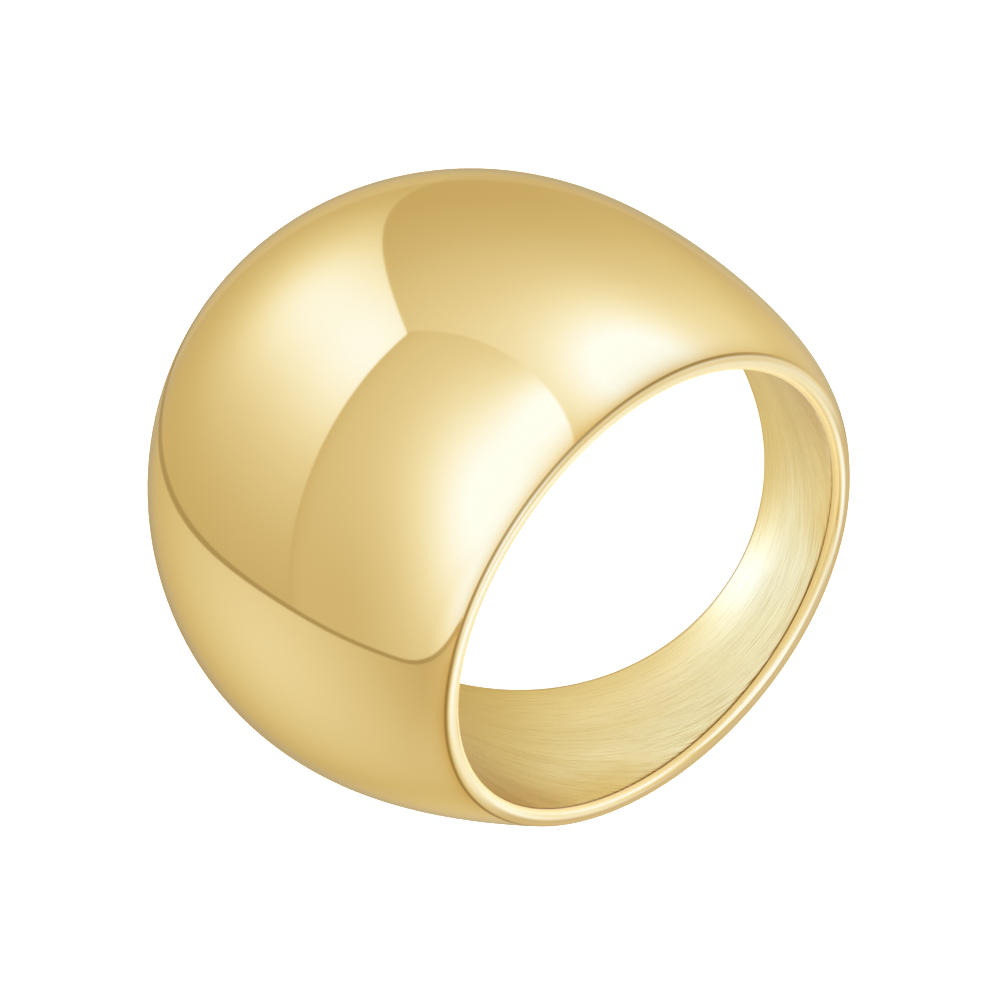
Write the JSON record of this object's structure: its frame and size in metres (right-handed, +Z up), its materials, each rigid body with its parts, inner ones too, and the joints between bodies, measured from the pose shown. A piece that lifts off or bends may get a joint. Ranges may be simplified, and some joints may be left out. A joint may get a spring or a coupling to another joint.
{
  "type": "dome ring",
  "caption": "Polished gold-toned dome ring: a plain round band that swells into a high smooth dome over the finger, with a narrow rounded lip round each opening.",
  "frame": {"origin": "centre of the finger bore, halfway between its two openings", "axes": "+Z up, out of the surface that the ring lies on; -Y towards the middle of the dome; +X to the right when seen from the dome; the bore leans back from +Z towards +Y"},
  "size_m": [0.0226, 0.0251, 0.0186],
  "materials": {
    "gold": "polished outside, satin in the bore"
  },
  "bodies": {
    "root": {"ring": "gold"}
  },
  "joints": []
}
